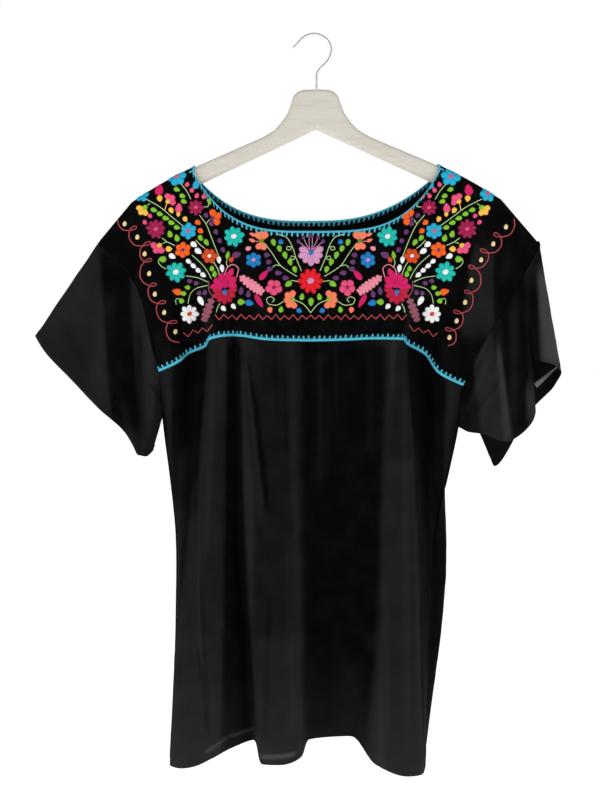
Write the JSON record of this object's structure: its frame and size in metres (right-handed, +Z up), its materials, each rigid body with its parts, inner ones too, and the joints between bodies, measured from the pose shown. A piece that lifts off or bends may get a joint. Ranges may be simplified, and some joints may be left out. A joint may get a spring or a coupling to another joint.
{
  "type": "embroidered blouse on a hanger",
  "caption": "Black peasant blouse with a flower-embroidered yoke, wide short sleeves and a gathered body, hanging on a flat wooden hanger with a steel hook.",
  "frame": {"origin": "inside top of the hanger's hook, where it hangs on a rail", "axes": "+X to the viewer's right along the hanger, the front faces -Y, +Z up"},
  "size_m": [0.6051, 0.1532, 0.8318],
  "materials": {
    "black_cotton": "matt plain weave",
    "turquoise_thread": "matt crocheted thread",
    "pale_wood": "smooth pale finish",
    "steel": "bright"
  },
  "bodies": {
    "root": {"yoke": "black_cotton", "front_panel": "black_cotton", "back_panel": "black_cotton", "left_sleeve": "black_cotton", "right_sleeve": "black_cotton", "neck_cord": "turquoise_thread", "front_yoke_edge": "turquoise_thread", "back_yoke_edge": "turquoise_thread", "hanger": "pale_wood", "hook": "steel"}
  },
  "joints": []
}
